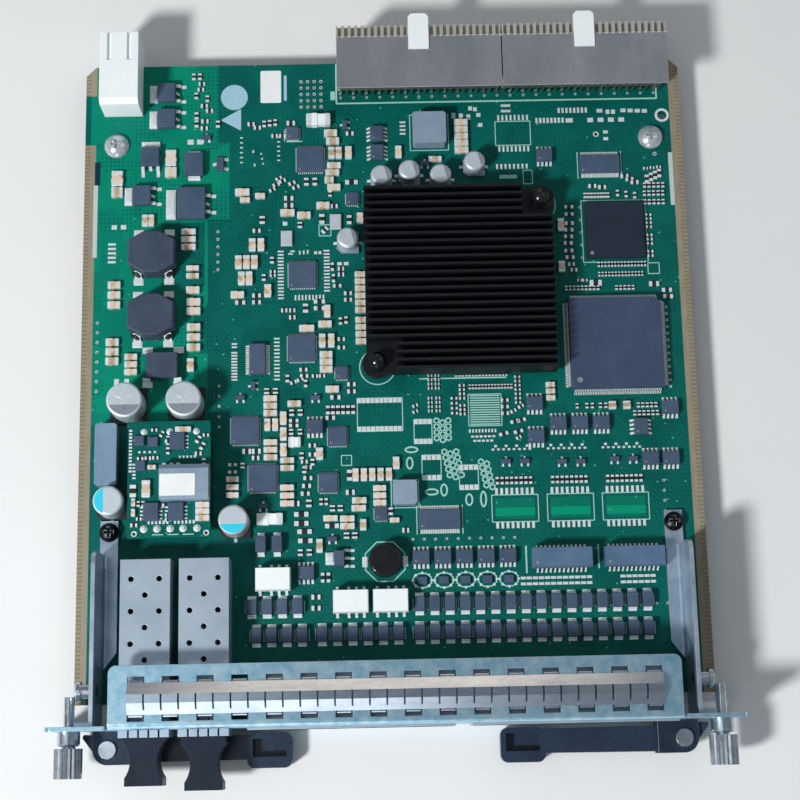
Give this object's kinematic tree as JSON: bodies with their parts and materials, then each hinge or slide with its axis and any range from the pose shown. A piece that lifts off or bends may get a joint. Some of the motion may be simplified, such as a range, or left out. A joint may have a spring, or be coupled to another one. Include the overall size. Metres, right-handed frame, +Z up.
{
  "type": "auxiliary interface board",
  "caption": "Slide-in interface board: populated circuit board behind a bent steel panel with data jacks, module cages, ejector levers and backplane connectors.",
  "frame": {"origin": "midway between the two panel screw axes, on the front face of the panel", "axes": "+X along the panel, +Y from the panel towards the backplane, +Z up off the component side"},
  "size_m": [0.1938, 0.2288, 0.0278],
  "materials": {
    "laminate": "solder mask",
    "zinc_steel": "satin zinc",
    "spring_steel": "bright",
    "plated_steel": "nickel plated",
    "black_steel": "black oxide",
    "black_plastic": "matt",
    "black_aluminium": "black anodised",
    "package_black": "moulded",
    "ferrite": "sintered",
    "carrier_green": "matt",
    "pad_grey": "soft",
    "can_aluminium": "drawn",
    "connector_grey": "moulded",
    "shield_steel": "matt",
    "contact_metal": "tin plated",
    "white_plastic": "moulded"
  },
  "bodies": {
    "board": {"cage_sockets": "black_plastic", "capacitor_bases": "black_plastic", "circuit_board": "laminate", "coding_keys": "white_plastic", "converter_board": "laminate", "converter_chips": "package_black", "converter_headers": "black_plastic", "converter_transformer": "ferrite", "crystals": "plated_steel", "dome_nuts": "plated_steel", "dome_screws": "plated_steel", "flash_chips": "package_black", "front_panel": "zinc_steel", "heat_sink": "black_aluminium", "jack_insert_left": "black_plastic", "jack_insert_right": "black_plastic", "jack_shell_left": "spring_steel", "jack_shell_right": "spring_steel", "large_capacitors": "can_aluminium", "leadless_chips": "package_black", "lever_bracket_left": "zinc_steel", "lever_bracket_right": "zinc_steel", "lever_pins": "plated_steel", "line_diodes": "package_black", "line_transformers": "package_black", "memory_chip": "package_black", "module_cage_left": "spring_steel", "module_cage_right": "spring_steel", "outline_chips": "package_black", "plane_housing_left": "connector_grey", "plane_housing_right": "connector_grey", "plane_shield_left": "shield_steel", "plane_shield_right": "shield_steel", "plane_tails": "contact_metal", "polymer_capacitors": "can_aluminium", "power_chokes": "ferrite", "power_connector": "white_plastic", "power_module": "ferrite", "power_transistors": "package_black", "processor": "carrier_green", "push_pins": "black_plastic", "quad_chip": "package_black", "rail_screws": "black_steel", "relays": "white_plastic", "round_choke": "ferrite", "shielded_chokes": "ferrite", "side_rail_left": "zinc_steel", "side_rail_right": "zinc_steel", "side_studs": "plated_steel", "small_capacitors": "can_aluminium", "spring_strip": "spring_steel", "thermal_pad": "pad_grey", "thumb_collars": "plated_steel"},
    "lever_left": {"lever_left": "black_plastic"},
    "lever_right": {"lever_right": "black_plastic"},
    "thumbscrew_left": {"thumbscrew_left": "plated_steel"},
    "thumbscrew_right": {"thumbscrew_right": "plated_steel"},
    "dust_plug_left": {"dust_plug_left": "black_plastic"},
    "dust_plug_right": {"dust_plug_right": "black_plastic"}
  },
  "joints": [
    {"name": "lever_left_swing", "type": "hinge", "parent": "board", "child": "lever_left", "pos_m": [-0.082, -0.0052, -0.009], "axis": [0, 0, -1], "range_deg": [0, 55]},
    {"name": "lever_right_swing", "type": "hinge", "parent": "board", "child": "lever_right", "pos_m": [0.082, -0.0052, -0.009], "axis": [0, 0, 1], "range_deg": [0, 55]},
    {"name": "thumbscrew_left_turn", "type": "hinge", "parent": "board", "child": "thumbscrew_left", "pos_m": [-0.092, 0, 0], "axis": [0, 1, 0], "continuous": true},
    {"name": "thumbscrew_right_turn", "type": "hinge", "parent": "board", "child": "thumbscrew_right", "pos_m": [0.092, 0, 0], "axis": [0, 1, 0], "continuous": true},
    {"name": "dust_plug_left_pull", "type": "slide", "parent": "board", "child": "dust_plug_left", "axis": [0, -1, 0], "range_m": [0, 0.04]},
    {"name": "dust_plug_right_pull", "type": "slide", "parent": "board", "child": "dust_plug_right", "axis": [0, -1, 0], "range_m": [0, 0.04]}
  ]
}
